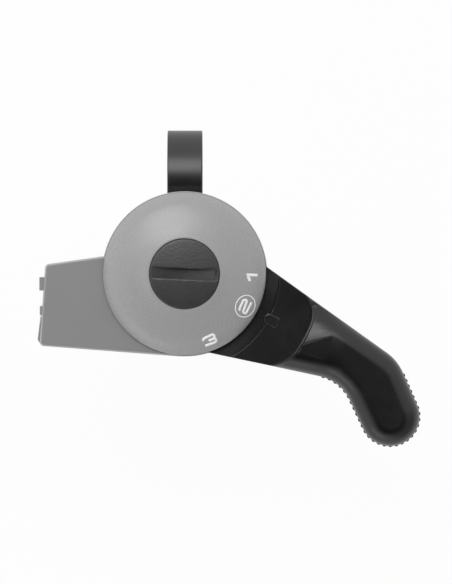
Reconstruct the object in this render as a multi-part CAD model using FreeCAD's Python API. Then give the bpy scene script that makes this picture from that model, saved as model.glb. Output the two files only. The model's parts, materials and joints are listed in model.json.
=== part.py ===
"""Handlebar thumb shifter for a three-speed hub, in millimetres.

The origin is the centre of the handlebar clamp. +X runs along the handlebar, +Z points
out of the dial, and the lever's pivot stands in front of the bar, towards -Y.
Every piece is drawn about the pivot axis first and moved to the bar's frame when written.
"""
import FreeCAD, Part
import math
import os

from FreeCAD import Vector

# Handlebar clamp
BAR_DIAMETER = 22.2
BAR_STANDOFF = 4.25
STRAP_WIDTH = 9.5
STRAP_THICKNESS = 1.5
STRAP_BEND = 0.5
EAR_GAP = 2.4
EAR_TOP_Z = -0.6
BOLT_FROM_BAR = 19.0
CLAMP_THREAD = 5.0
BOLT_HOLE_GAP = 0.3
BOLT_POINT = 0.5
CLAMP_HEAD_DIAMETER = 8.5
CLAMP_HEAD_HEIGHT = 5.0
CLAMP_HEAD_EDGE = 0.4
CLAMP_KEY_FLATS = 4.0
CLAMP_KEY_DEPTH = 2.5
CLAMP_WASHER_DIAMETER = 9.4
CLAMP_WASHER_THICKNESS = 1.0
NUT_FLATS = 8.0
NUT_HEIGHT = 4.0
NUT_WALL = 1.1
NUT_GAP = 0.1

# Gears: where each one lies round the dial, in degrees from +X
GEAR_ONE = -2.4
GEAR_TWO = -28.0
GEAR_THREE = -69.1

# Moulded base
FLOOR_Z = 5.0
FLOOR = 2.0
WALL = 1.8
BODY_PROUD = 0.35
RIM_Z = 16.0
LEVER_MOUTH = (-123.8, 36.5)
SADDLE_GAP = 0.1
BOX_END_TOP = (-37.7, 2.6)
BOX_END_BOTTOM = (-39.3, -19.4)
BOX_ROOT_TOP = (-10.0, 6.5)
BOX_CORNER = 1.2
END_FOOT_REACH = (0.45, 0.8)
END_FOOT_TOP = -11.4
END_FOOT_HEIGHT = 5.0
CASING_DIAMETER = 5.0
CASING_GAP = 0.1
CASING_DEPTH = 8.0
CASING_Y = -6.3
CABLE_HOLE_DIAMETER = 2.2
STOP_WALL = 1.6
DIAL_KEY_ANGLES = (75.0, 140.0)
DIAL_KEY_WIDTH = 4.0
DIAL_KEY_THICKNESS = 1.6
DIAL_KEY_DEPTH = 2.0
DIAL_KEY_GAP = 0.35

# Cover over the cable box
COVER_THICKNESS = 1.0
COVER_EDGE = 0.7
COVER_DROP = 0.4
COVER_UNDER_DIAL = 1.7
COVER_END_ANGLE = 3.0
COVER_LIP = 1.2
COVER_GAP = 0.15
LIFT_TAB = (-4.5, -0.8)
LIFT_TAB_REACH = 1.25
SIDE_TAB = (-11.2, -8.6)
SIDE_TAB_REACH = 0.6
TAB_THICKNESS = 0.8

# Pivot stack
POST_DIAMETER = 8.0
BUSH_WALL = 0.95
RUNNING_GAP = 0.05
PIVOT_THREAD = 4.0
PIVOT_HEAD_DIAMETER = 7.6
PIVOT_HEAD_HEIGHT = 1.9
PIVOT_HEAD_EDGE = 0.6
PIVOT_SLOT = 0.9
PIVOT_HOLE_GAP = 0.2
LOCK_THICKNESS = 0.5
LOCK_SPLIT = 0.6
INSERT_WALL = 0.8
INSERT_LENGTH = 5.0
INSERT_PRESS = 0.02
INSERT_RELIEF = 1.0
PIVOT_WASHER_DIAMETER = 17.0
PIVOT_WASHER_THICKNESS = 1.0
WAVE_THICKNESS = 0.25
WAVE_HEIGHT = 0.7
WAVE_COUNT = 3
WAVE_WIDTH = 2.8
SLIP_THICKNESS = 0.4
SLIP_WIDTH = 3.2

# Index plate and detents
PLATE_THICKNESS = 1.0
PLATE_MARGIN = 2.85
PLATE_KEY_WIDTH = 4.0
PLATE_KEY_REACH = 2.0
BALL_DIAMETER = 3.0
BALL_ANGLES = (60.0, 240.0)
DIMPLE_DEPTH = 0.3
SPRING_WIRE = 0.4
SPRING_COILS = 2.0
POCKET_ROOF = 0.5
DETENT_WALL = 0.5

# Cable drum
HUB_LIFT = 0.3
HUB_SINK = 0.3
DRUM_WALL = 1.0
DRUM_HEIGHT = 2.8
GROOVE_DEPTH = 2.2
GROOVE_MOUTH = 2.2
GROOVE_FLOOR = 1.0
KEY_WIDTH = 2.4
KEY_HEIGHT = 0.6
NIPPLE_DIAMETER = 3.4
NIPPLE_WALL = 0.3
NIPPLE_FLOOR = 0.5
NIPPLE_ANGLE = -60.0

# Lever, in plan about the pivot, as it lies in second gear
UPPER_ROOT_ANGLE = 5.7
LOWER_ROOT_ANGLE = -64.05
LOWER_ROOT_PROUD = 2.7
HEEL_REACH = 7.0
LEVER_SHOULDER = (57.65, -23.35)
LEVER_SHOULDER_RADIUS = 13.0
THUMB_CENTRE = (55.6, -38.6)
THUMB_RADIUS = 8.0
LEVER_CROOK = (42.2, -28.9)
LEVER_CROOK_RADIUS = 11.5
SLIDE_GAP = 0.3
COLLAR_REACH = 3.15
STEP_HEIGHT = 0.4
STEP_BEVEL_HEIGHT = 0.2
STEP_BEVEL_WIDTH = 0.4
RECESS_REACH = 14.2
RECESS_UPPER_CORNER = 8.0
RECESS_LOWER_CORNER = 9.0
RECESS_SWELL = 0.1
FLANK_ANGLE = -35.0
FLANK_HEADING = 18.0
FLANK_RADIUS = 18.0
FLANK_FOOT = 0.8
FLANK_LIFT = 0.02
ARM_BOTTOM_Z = 8.5
ARM_RISE = 3.9
ARM_EDGE = 4.8
ARM_FOOT_EDGE = 1.0
ARM_CLEARANCE = 4.0
ARM_SHELL = 2.4
ARM_ROOF = 3.2
ARM_WEB = 1.6
POINTER_WIDTH = 3.0
POINTER_LENGTH = 4.5
POINTER_OVERLAP = 1.2
POINTER_HEIGHT = 0.5
POINTER_EDGE = 0.2
GRIP_PITCH = 1.65
GRIP_RIB_DIAMETER = 1.3
GRIP_RIB_PROUD = 0.27
GRIP_BELOW_EDGE = 0.3
WELL_GAP = 1.0

# Dial cover
DIAL_DIAMETER = 44.0
DIAL_WALL = 1.8
DIAL_RIM_HEIGHT = 0.3
DIAL_HEIGHT = 5.9
SHOULDER_WIDTH = 4.45
SHOULDER_DROP = 1.3
SHOULDER_SLOPE = 0.2
BROW_WIDTH = 3.4
BROW_DROP = 2.7
SKIRT_CLEARANCE = 2.0
CUP_DIAMETER = 19.1
CUP_WALL = 1.6
CUP_FLOOR = 1.2
CUP_LAND = 0.3

# Centre cap
CAP_GAP = 0.1
CAP_CROWN = 0.5
CAP_WALL = 1.6
CAP_ROOF = 2.9
CAP_EDGE = 0.4
SLOT_WIDTH = 2.9
SLOT_LENGTH = 20.5
SLOT_DEPTH = 1.8
SLOT_TILT = -2.5

# Levels and radii that follow from the sizes above
DIAL_RADIUS = DIAL_DIAMETER / 2
BODY_RADIUS = DIAL_RADIUS + BODY_PROUD
PIVOT_TO_BAR = BODY_RADIUS + BAR_STANDOFF
COLLAR_RADIUS = BODY_RADIUS + COLLAR_REACH
RECESS_RADIUS = BODY_RADIUS + RECESS_REACH
BOX_TOP = RIM_Z - COVER_DROP - COVER_THICKNESS
ROOT_FLAT_Z = BOX_TOP - SLIDE_GAP
COLLAR_TOP_Z = ROOT_FLAT_Z - STEP_HEIGHT
HUB_TOP_Z = COLLAR_TOP_Z - HUB_SINK
ARM_TOP_Z = ROOT_FLAT_Z + ARM_RISE
FLOOR_TOP = FLOOR_Z + FLOOR
PLATE_TOP = FLOOR_TOP + PLATE_THICKNESS
HUB_Z = PLATE_TOP + HUB_LIFT
DRUM_TOP = HUB_Z + DRUM_HEIGHT
SLIP_TOP = HUB_TOP_Z + SLIP_THICKNESS
WASHER_Z = SLIP_TOP + WAVE_HEIGHT + 2 * RUNNING_GAP
CUP_Z = WASHER_Z + PIVOT_WASHER_THICKNESS
CUP_TOP = CUP_Z + CUP_FLOOR
PIVOT_HEAD_Z = CUP_TOP + LOCK_THICKNESS
DIAL_TOP_Z = RIM_Z + DIAL_HEIGHT
CASING_Z = HUB_Z + DRUM_HEIGHT / 2
BAR_RADIUS = BAR_DIAMETER / 2
STRAP_RADIUS = BAR_RADIUS + STRAP_THICKNESS
SADDLE_RADIUS = STRAP_RADIUS + SADDLE_GAP
POST_RADIUS = POST_DIAMETER / 2
BUSH_RADIUS = POST_RADIUS + RUNNING_GAP + BUSH_WALL
POCKET_RADIUS = BALL_DIAMETER / 2 + RUNNING_GAP
BALL_RING_RADIUS = BUSH_RADIUS + RUNNING_GAP + DETENT_WALL + POCKET_RADIUS
HUB_RADIUS = BALL_RING_RADIUS + POCKET_RADIUS + DETENT_WALL
DRUM_RADIUS = HUB_RADIUS + RUNNING_GAP + DRUM_WALL + GROOVE_DEPTH
PLATE_RADIUS = HUB_RADIUS + PLATE_MARGIN
CUP_RADIUS = CUP_DIAMETER / 2
CUP_OUTER = CUP_RADIUS + CUP_WALL
BOLT_Y = PIVOT_TO_BAR - BOLT_FROM_BAR
BOLT_HOLE = CLAMP_THREAD / 2 + BOLT_HOLE_GAP
PIVOT_HOLE = PIVOT_THREAD / 2 + PIVOT_HOLE_GAP
LEVER_MOUTH_Z = DRUM_TOP - COVER_DROP
FAR = 200.0
TINY = 0.01
UP = Vector(0, 0, 1)
ALONG_BAR = Vector(1, 0, 0)


# Small drawing helpers

def polar(radius, degrees, z=0.0):
    angle = math.radians(degrees)
    return Vector(radius * math.cos(angle), radius * math.sin(angle), z)


def cylinder(radius, z0, z1, x=0.0, y=0.0):
    return Part.makeCylinder(radius, z1 - z0, Vector(x, y, z0))


def tube(inner, outer, z0, z1):
    return cylinder(outer, z0, z1).cut(cylinder(inner, z0, z1))


def bar_cylinder(radius, length=FAR):
    """A cylinder on the handlebar's axis, centred on the clamp."""
    return Part.makeCylinder(radius, length, Vector(-length / 2, PIVOT_TO_BAR, 0), ALONG_BAR)


def hexagon(flats, z0, z1, x=0.0, y=0.0):
    corners = [polar(flats / math.sqrt(3), 60 * i + 30, z0) + Vector(x, y, 0) for i in range(7)]
    return Part.Face(Part.makePolygon(corners)).extrude(UP * (z1 - z0))


def polygon(points, z=0.0):
    corners = [Vector(x, y, z) for x, y in points]
    return Part.Face(Part.makePolygon(corners + corners[:1]))


def prism(points, z0, z1):
    return polygon(points, z0).extrude(UP * (z1 - z0))


def sector(radius, start, end, z0, z1):
    """A pie slice from one bearing to another, counter-clockwise."""
    middle = (start + end) / 2
    arc = Part.Arc(polar(radius, start, z0), polar(radius, middle, z0), polar(radius, end, z0))
    hub = Vector(0, 0, z0)
    sides = [Part.makeLine(hub, polar(radius, start, z0)), arc.toShape(),
             Part.makeLine(polar(radius, end, z0), hub)]
    return Part.Face(Part.Wire(sides)).extrude(UP * (z1 - z0))


def revolved(edges):
    return Part.Face(Part.Wire(edges)).revolve(Vector(), UP, 360)


def lines_xz(points):
    corners = [Vector(r, 0, z) for r, z in points]
    return [Part.makeLine(a, b) for a, b in zip(corners, corners[1:])]


def tangent_arc(start, heading, end):
    """The arc that leaves start along heading and ends at end, in the plane of the three."""
    chord = end - start
    heading = heading.normalize()
    across = chord - heading * chord.dot(heading)
    across = across.normalize()
    radius = chord.Length ** 2 / (2 * chord.dot(across))
    centre = start + across * radius
    middle = start + end
    outward = (middle * 0.5 - centre).normalize()
    return Part.Arc(start, centre + outward * radius, end)


def arc_end_heading(start, heading, end):
    """The heading with which that arc arrives."""
    chord = (end - start).normalize()
    return chord * (2 * chord.dot(heading.normalize())) - heading.normalize()


def bar_between(start, end, width, z0, z1):
    """An upright plate of a given width that runs from one point to another."""
    side = Vector(start.y - end.y, end.x - start.x, 0).normalize() * (width / 2)
    corners = [start + side, start - side, end - side, end + side]
    return prism([(corner.x, corner.y) for corner in corners], z0, z1)


def edges_where(shape, test):
    return [edge for edge in shape.Edges if test(edge.BoundBox)]


def upright(box, x, y, reach=0.3):
    """True for an upright edge that stands at x, y."""
    flat = box.XLength < reach and box.YLength < reach
    return flat and abs(box.Center.x - x) < reach and abs(box.Center.y - y) < reach


# Lever outline

def corner_arc(before, corner, after, radius):
    """Rounds a corner: the point where the arc starts, its middle and its end."""
    back = (before - corner).normalize()
    ahead = (after - corner).normalize()
    half = back.getAngle(ahead) / 2
    reach = radius / math.tan(half)
    centre = corner + (back + ahead).normalize() * (radius / math.sin(half))
    middle = centre + (corner - centre).normalize() * radius
    return corner + back * reach, middle, corner + ahead * reach


def thumb_tangent(corner, side):
    """Where a line from corner touches the round of the thumb pad, on its left (1) or right (-1)."""
    centre = Vector(*THUMB_CENTRE, 0)
    towards = centre - corner
    lean = math.asin(THUMB_RADIUS / towards.Length)
    bearing = math.atan2(towards.y, towards.x) + side * lean
    reach = math.sqrt(towards.Length ** 2 - THUMB_RADIUS ** 2)
    return corner + Vector(math.cos(bearing), math.sin(bearing), 0) * reach


def upper_root():
    return polar(DIAL_RADIUS, UPPER_ROOT_ANGLE)


def lower_root():
    return polar(DIAL_RADIUS + LOWER_ROOT_PROUD, LOWER_ROOT_ANGLE)


def heel():
    """Where the lever's lower side ends under the dial."""
    last = lever_outline()[-1].Vertexes
    return last[1].Point + (last[1].Point - last[0].Point).normalize() * HEEL_REACH


def lever_outline():
    """The lever's plan from its upper root round the thumb pad to its lower root, as edges."""
    upper = upper_root()
    shoulder = Vector(*LEVER_SHOULDER, 0)
    crook = Vector(*LEVER_CROOK, 0)
    lower = lower_root()
    outer_touch = thumb_tangent(shoulder, 1)
    inner_touch = thumb_tangent(crook, -1)
    tip = Vector(*THUMB_CENTRE, 0) + (outer_touch - shoulder).normalize() * THUMB_RADIUS
    a = corner_arc(upper, shoulder, outer_touch, LEVER_SHOULDER_RADIUS)
    b = corner_arc(inner_touch, crook, lower, LEVER_CROOK_RADIUS)
    return [Part.makeLine(upper, a[0]), Part.Arc(*a).toShape(), Part.makeLine(a[2], outer_touch),
            Part.Arc(outer_touch, tip, inner_touch).toShape(), Part.makeLine(inner_touch, b[0]),
            Part.Arc(*b).toShape(), Part.makeLine(b[2], lower)]


# Handlebar clamp

def clamp_strap():
    """Steel strap bent round the bar, with two ears that the clamp bolt draws together."""
    half = STRAP_WIDTH / 2
    start = Vector(-half, PIVOT_TO_BAR, 0)
    ring = Part.makeCylinder(STRAP_RADIUS, STRAP_WIDTH, start, ALONG_BAR)
    low_ear_top = EAR_TOP_Z - STRAP_THICKNESS - EAR_GAP
    ears = []
    for top in (EAR_TOP_Z, low_ear_top):
        z0 = top - STRAP_THICKNESS
        plate = Part.makeBox(STRAP_WIDTH, BOLT_FROM_BAR, STRAP_THICKNESS, Vector(-half, BOLT_Y, z0))
        ears.append(plate.fuse(cylinder(half, z0, top, 0, BOLT_Y)))
    strap = ring.fuse(ears).cut(bar_cylinder(BAR_RADIUS))
    gap = Part.makeBox(STRAP_WIDTH, BOLT_FROM_BAR + half, EAR_GAP, Vector(-half, BOLT_Y - half, low_ear_top))
    strap = strap.cut([gap, cylinder(BOLT_HOLE, -FAR, FAR, 0, BOLT_Y)]).removeSplitter()
    ring_side = PIVOT_TO_BAR - BAR_RADIUS
    outer_bends = edges_where(strap, lambda b: b.XLength > half and b.YLength < TINY and b.ZLength < TINY
                              and BOLT_Y + half < b.Center.y < ring_side
                              and (b.Center.z > low_ear_top + EAR_GAP or b.Center.z < low_ear_top))
    return strap.makeFillet(STRAP_BEND, outer_bends)


def clamp_bolt():
    """Socket-head bolt, put in from below."""
    head_top = EAR_TOP_Z - 2 * STRAP_THICKNESS - EAR_GAP - CLAMP_WASHER_THICKNESS
    foot = head_top - CLAMP_HEAD_HEIGHT
    shank_top = EAR_TOP_Z + NUT_HEIGHT + BOLT_POINT
    head = cylinder(CLAMP_HEAD_DIAMETER / 2, foot, head_top, 0, BOLT_Y)
    head = head.makeFillet(CLAMP_HEAD_EDGE, edges_where(head, lambda b: b.ZMax < foot + TINY))
    shank = cylinder(CLAMP_THREAD / 2, head_top, shank_top, 0, BOLT_Y)
    return head.fuse(shank).cut(hexagon(CLAMP_KEY_FLATS, foot, foot + CLAMP_KEY_DEPTH, 0, BOLT_Y))


def clamp_washer():
    top = EAR_TOP_Z - 2 * STRAP_THICKNESS - EAR_GAP
    washer = tube(BOLT_HOLE, CLAMP_WASHER_DIAMETER / 2, top - CLAMP_WASHER_THICKNESS, top)
    return washer.translated(Vector(0, BOLT_Y, 0))


def clamp_nut():
    nut = hexagon(NUT_FLATS, EAR_TOP_Z, EAR_TOP_Z + NUT_HEIGHT, 0, BOLT_Y)
    return nut.cut(cylinder(CLAMP_THREAD / 2 + RUNNING_GAP, -FAR, FAR, 0, BOLT_Y))


# Moulded base

def touch_angle():
    """Bearing at which the box's lower side touches the round body."""
    end_bottom = Vector(*BOX_END_BOTTOM, 0)
    bearing = math.atan2(end_bottom.y, end_bottom.x)
    return math.degrees(bearing + math.acos(BODY_RADIUS / end_bottom.Length))


def box_corners(inset=0.0):
    """The cable box in plan, drawn in by inset, with its lower side tangent to the round body."""
    touch = polar(BODY_RADIUS, touch_angle())
    outline = polygon([BOX_END_TOP, BOX_END_BOTTOM, (touch.x, touch.y), BOX_ROOT_TOP])
    return outline.makeOffset2D(-inset, 2) if inset else outline


def end_wall_x(y):
    """Outer face of the box's end wall at a given y."""
    (x0, y0), (x1, y1) = BOX_END_TOP, BOX_END_BOTTOM
    return x0 + (x1 - x0) * (y - y0) / (y1 - y0)


def lifted(face, z0, z1):
    return face.translated(Vector(0, 0, z0)).extrude(UP * (z1 - z0))


def lever_mouth(z0, z1):
    """The opening in the body's wall that the lever sweeps through."""
    mouth = sector(BODY_RADIUS + 2 * WALL, *LEVER_MOUTH, z0, z1)
    return mouth.cut(cylinder(BODY_RADIUS - 2 * WALL, z0, z1))


def base_shell():
    """Round body and cable box, hollowed, with the saddle for the bar closing the back."""
    box = lifted(box_corners(), FLOOR_Z, BOX_TOP)
    box = box.makeFillet(BOX_CORNER, edges_where(
        box, lambda b: upright(b, *BOX_END_TOP) or upright(b, *BOX_END_BOTTOM)))
    outer = cylinder(BODY_RADIUS, FLOOR_Z, RIM_Z).fuse(box)
    hollow = cylinder(BODY_RADIUS - WALL, FLOOR_TOP, RIM_Z).fuse(
        lifted(box_corners(WALL), FLOOR_TOP, RIM_Z))
    hollow = hollow.cut(bar_cylinder(SADDLE_RADIUS + WALL))
    cover_seat = lifted(box_corners(-COVER_GAP), BOX_TOP, RIM_Z)
    return outer.cut([hollow, cover_seat, lever_mouth(LEVER_MOUTH_Z, RIM_Z)])


def cable_stop():
    """The block inside the end wall that the cable's casing butts against."""
    half = CASING_DIAMETER / 2 + CASING_GAP + STOP_WALL
    inner_x = end_wall_x(CASING_Y) + CASING_DEPTH + STOP_WALL
    outer_x = end_wall_x(CASING_Y) + WALL / 2
    return Part.makeBox(inner_x - outer_x, 2 * half, CASING_Z + half - FLOOR_TOP,
                        Vector(outer_x, CASING_Y - half, FLOOR_TOP))


def cable_bores():
    mouth = end_wall_x(CASING_Y)
    run_out = 2 * WALL
    casing = Part.makeCylinder(CASING_DIAMETER / 2 + CASING_GAP, CASING_DEPTH + run_out,
                               Vector(mouth - run_out, CASING_Y, CASING_Z), ALONG_BAR)
    cable = Part.makeCylinder(CABLE_HOLE_DIAMETER / 2, CASING_DEPTH + 2 * STOP_WALL,
                              Vector(mouth, CASING_Y, CASING_Z), ALONG_BAR)
    return [casing, cable]


def end_foot():
    """Low flare at the foot of the end wall, which widens downwards in plan."""
    top_reach, low_reach = END_FOOT_REACH
    top_x = end_wall_x(END_FOOT_TOP)
    low_x = BOX_END_BOTTOM[0]
    low_y = BOX_END_BOTTOM[1] + BOX_CORNER / 2
    corner = (low_x - low_reach, low_y)
    plan = [(top_x + WALL / 2, END_FOOT_TOP), (top_x - top_reach, END_FOOT_TOP), corner, (low_x + WALL, low_y)]
    foot = prism(plan, FLOOR_Z, FLOOR_Z + END_FOOT_HEIGHT)
    return foot.makeFillet(BOX_CORNER, edges_where(foot, lambda b: upright(b, *corner)))


def base_housing():
    post = cylinder(POST_RADIUS, FLOOR_TOP, WASHER_Z - RUNNING_GAP)
    boss_radius = NUT_FLATS / math.sqrt(3) + NUT_WALL
    boss = cylinder(boss_radius, EAR_TOP_Z, FLOOR_Z, 0, BOLT_Y)
    plate_key = plate_key_block(COVER_GAP).translated(Vector(0, 0, -PLATE_THICKNESS))
    plate_key = plate_key.fuse(plate_key_block(COVER_GAP))
    seat = tube(PLATE_RADIUS + COVER_GAP, PLATE_RADIUS + WALL, FLOOR_TOP, PLATE_TOP)
    base = base_shell().fuse([post, boss, cable_stop(), end_foot(), seat.cut(plate_key)])
    insert_radius = PIVOT_THREAD / 2 + RUNNING_GAP + INSERT_WALL + INSERT_PRESS
    insert_hole = cylinder(insert_radius, WASHER_Z - INSERT_LENGTH - INSERT_RELIEF, WASHER_Z)
    nut_pocket = hexagon(NUT_FLATS + 2 * NUT_GAP, EAR_TOP_Z, EAR_TOP_Z + NUT_HEIGHT + NUT_GAP, 0, BOLT_Y)
    bolt_hole = cylinder(BOLT_HOLE, EAR_TOP_Z, FLOOR_Z, 0, BOLT_Y)
    base = base.cut([bar_cylinder(SADDLE_RADIUS), insert_hole, nut_pocket, bolt_hole] + cable_bores())
    return base.removeSplitter()


def cover_tab(span, reach):
    """A flat tab on the cover's end, between two values of y."""
    low, high = span
    wall_x = end_wall_x((low + high) / 2)
    return Part.makeBox(reach + WALL, high - low, TAB_THICKNESS, Vector(wall_x - reach, low, BOX_TOP))


def cable_cover():
    """Snap-on plate over the cable box, tucked under the dial's rim, with two tabs at its end."""
    top = BOX_TOP + COVER_THICKNESS
    plate = lifted(box_corners(), BOX_TOP, top)
    plate = plate.makeFillet(BOX_CORNER, edges_where(
        plate, lambda b: upright(b, *BOX_END_TOP) or upright(b, *BOX_END_BOTTOM)))
    plate = plate.makeFillet(COVER_EDGE, edges_where(
        plate, lambda b: b.ZMin > top - TINY and b.XMin < BOX_END_TOP[0] + 2 * BOX_CORNER))
    lip = lifted(box_corners(WALL + COVER_GAP), BOX_TOP - COVER_LIP, BOX_TOP)
    lip = lip.cut(lifted(box_corners(2 * WALL), BOX_TOP - COVER_LIP, BOX_TOP))
    stop_half = CASING_DIAMETER / 2 + CASING_GAP + STOP_WALL + COVER_GAP
    clear_stop = Part.makeBox(2 * CASING_DEPTH, 2 * stop_half, COVER_LIP,
                              Vector(BOX_END_BOTTOM[0], CASING_Y - stop_half, BOX_TOP - COVER_LIP))
    tabs = [cover_tab(LIFT_TAB, LIFT_TAB_REACH), cover_tab(SIDE_TAB, SIDE_TAB_REACH)]
    body = plate.fuse([lip.cut(clear_stop)] + tabs)
    under_dial = cylinder(DIAL_RADIUS - COVER_UNDER_DIAL, 0, FAR)
    thin_end = sector(2 * BODY_RADIUS, touch_angle() - COVER_END_ANGLE, 0, 0, FAR)
    return body.cut([under_dial, thin_end, lever_mouth(BOX_TOP - COVER_LIP, BOX_TOP)]).removeSplitter()


# Index plate, pivot stack and cable drum

def plate_key_block(gap=0.0):
    """Tongue on the plate's rim, and the notch that holds it when grown by gap."""
    reach = PLATE_RADIUS + PLATE_KEY_REACH + gap
    width = PLATE_KEY_WIDTH + 2 * gap
    return Part.makeBox(reach, width, PLATE_THICKNESS, Vector(-reach, -width / 2, FLOOR_TOP))


def index_plate():
    """Fixed steel plate with one row of dimples for each ball, one dimple for each gear."""
    plate = cylinder(PLATE_RADIUS, FLOOR_TOP, PLATE_TOP).fuse(plate_key_block())
    plate = plate.cut(cylinder(POST_RADIUS + RUNNING_GAP, FLOOR_TOP, PLATE_TOP))
    dimples = []
    for ball in BALL_ANGLES:
        for gear in (GEAR_ONE, GEAR_TWO, GEAR_THREE):
            spot = polar(BALL_RING_RADIUS, ball + gear - GEAR_TWO, PLATE_TOP + POCKET_RADIUS - DIMPLE_DEPTH)
            dimples.append(Part.makeSphere(POCKET_RADIUS, spot))
    return plate.cut(dimples).removeSplitter()


def detent_balls():
    z = PLATE_TOP + RUNNING_GAP + BALL_DIAMETER / 2
    return Part.makeCompound([Part.makeSphere(BALL_DIAMETER / 2, polar(BALL_RING_RADIUS, a, z))
                              for a in BALL_ANGLES])


def detent_springs():
    """A short compression spring over each ball."""
    bottom = PLATE_TOP + 2 * RUNNING_GAP + BALL_DIAMETER + SPRING_WIRE / 2
    top = HUB_TOP_Z - POCKET_ROOF - RUNNING_GAP - SPRING_WIRE / 2
    radius = BALL_DIAMETER / 2 - SPRING_WIRE / 2
    coil = Part.makeHelix((top - bottom) / SPRING_COILS, top - bottom, radius)
    start = Vector(radius, 0, 0)
    section = Part.Wire(Part.makeCircle(SPRING_WIRE / 2, start, Vector(0, 1, 0)))
    spring = Part.Wire(coil.Edges).makePipeShell([section], True, True)
    return Part.makeCompound([spring.translated(polar(BALL_RING_RADIUS, a, bottom)) for a in BALL_ANGLES])


def pivot_bush():
    return tube(POST_RADIUS + RUNNING_GAP, BUSH_RADIUS, PLATE_TOP, WASHER_Z)


def pivot_insert():
    bore = PIVOT_THREAD / 2 + RUNNING_GAP
    top = WASHER_Z - RUNNING_GAP
    return tube(bore, bore + INSERT_WALL, top - INSERT_LENGTH, top)


def pivot_washer():
    return tube(PIVOT_HOLE, PIVOT_WASHER_DIAMETER / 2, WASHER_Z, CUP_Z)


def lock_washer():
    """Split ring that keeps the pivot screw from working loose."""
    ring = tube(PIVOT_HOLE, PIVOT_HEAD_DIAMETER / 2, CUP_TOP, PIVOT_HEAD_Z)
    split_from = Vector(0, -LOCK_SPLIT / 2, CUP_TOP)
    return ring.cut(Part.makeBox(PIVOT_HEAD_DIAMETER, LOCK_SPLIT, LOCK_THICKNESS, split_from))


def pivot_screw():
    """Slotted pan-head screw that draws the dial cover down on the pivot stack."""
    top = PIVOT_HEAD_Z + PIVOT_HEAD_HEIGHT
    head = cylinder(PIVOT_HEAD_DIAMETER / 2, PIVOT_HEAD_Z, top)
    head = head.makeFillet(PIVOT_HEAD_EDGE, edges_where(head, lambda b: b.ZMin > top - TINY))
    shank = cylinder(PIVOT_THREAD / 2, WASHER_Z - INSERT_LENGTH, PIVOT_HEAD_Z)
    slot = Part.makeBox(2 * PIVOT_HEAD_DIAMETER, PIVOT_SLOT, PIVOT_SLOT,
                        Vector(-PIVOT_HEAD_DIAMETER, -PIVOT_SLOT / 2, top - PIVOT_SLOT))
    return head.fuse(shank).cut(slot)


def slip_washer():
    inner = BUSH_RADIUS + 3 * RUNNING_GAP
    return tube(inner, inner + SLIP_WIDTH, HUB_TOP_Z, SLIP_TOP)


def wave_ring(radius, z):
    swing = (WAVE_HEIGHT - WAVE_THICKNESS) / 2
    points = []
    steps = 8 * WAVE_COUNT
    for i in range(steps):
        turn = 360.0 * i / steps
        points.append(polar(radius, turn, z + swing * math.cos(math.radians(WAVE_COUNT * turn))))
    curve = Part.BSplineCurve()
    curve.interpolate(points, PeriodicFlag=True)
    return curve.toShape()


def wave_washer():
    """Crest washer of spring steel that takes up the play of the lever."""
    inner = BUSH_RADIUS + 4 * RUNNING_GAP
    outer = inner + WAVE_WIDTH
    low = SLIP_TOP + RUNNING_GAP + (WAVE_HEIGHT - WAVE_THICKNESS) / 2
    high = low + WAVE_THICKNESS
    rings = [wave_ring(inner, low), wave_ring(outer, low), wave_ring(outer, high), wave_ring(inner, high)]
    faces = [Part.makeRuledSurface(a, b) for a, b in zip(rings, rings[1:] + rings[:1])]
    shell = Part.Shell(faces)
    shell.sewShape()
    solid = Part.Solid(Part.Shell(shell.Faces))
    return solid if solid.Volume > 0 else solid.reversed()


def drum_keys(gap=0.0):
    """Two keys that lock the drum to the lever's hub, on the line across the balls."""
    reach = HUB_RADIUS + KEY_HEIGHT + gap
    width = KEY_WIDTH + 2 * gap
    bar = Part.makeBox(2 * reach, width, DRUM_HEIGHT, Vector(-reach, -width / 2, HUB_Z))
    return bar.common(cylinder(reach, HUB_Z, DRUM_TOP)).cut(cylinder(BALL_RING_RADIUS, HUB_Z, DRUM_TOP))


def cable_drum():
    """Grooved pulley that winds the gear cable, with a pocket for the cable's nipple."""
    outer = DRUM_RADIUS
    inner = HUB_RADIUS + RUNNING_GAP
    middle = HUB_Z + DRUM_HEIGHT / 2
    half_mouth = GROOVE_MOUTH / 2
    half_floor = GROOVE_FLOOR / 2
    profile = [(inner, HUB_Z), (outer, HUB_Z), (outer, middle - half_mouth),
               (outer - GROOVE_DEPTH, middle - half_floor), (outer - GROOVE_DEPTH, middle + half_floor),
               (outer, middle + half_mouth), (outer, DRUM_TOP), (inner, DRUM_TOP), (inner, HUB_Z)]
    nipple_at = polar(outer - NIPPLE_DIAMETER / 2 - NIPPLE_WALL, NIPPLE_ANGLE)
    nipple = cylinder(NIPPLE_DIAMETER / 2, HUB_Z + NIPPLE_FLOOR, DRUM_TOP, nipple_at.x, nipple_at.y)
    return revolved(lines_xz(profile)).cut([drum_keys(RUNNING_GAP), nipple]).removeSplitter()


# Lever

def arm_block():
    """The arm and its root as one block, with a broad rounding above and a small one below."""
    outline = lever_outline()
    outline[-1] = Part.makeLine(outline[-1].Vertexes[0].Point, heel())
    upper = upper_root()
    hub_low = Vector(heel()).normalize() * HUB_RADIUS
    hub_high = polar(HUB_RADIUS, UPPER_ROOT_ANGLE)
    root = [Part.makeLine(heel(), hub_low), Part.makeLine(hub_low, hub_high), Part.makeLine(hub_high, upper)]
    block = lifted(Part.Face(Part.Wire(outline + root)), ARM_BOTTOM_Z, ARM_TOP_Z)
    on_arm = [edge for edge in block.Edges if edge.BoundBox.XMax > COLLAR_RADIUS]
    above = [edge for edge in on_arm if edge.BoundBox.ZMin > ARM_TOP_Z - TINY]
    block = block.makeFillet(ARM_EDGE, above)
    return block.makeFillet(ARM_FOOT_EDGE, edges_where(
        block, lambda b: b.ZMax < ARM_BOTTOM_Z + TINY and b.XMax > COLLAR_RADIUS))


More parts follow.
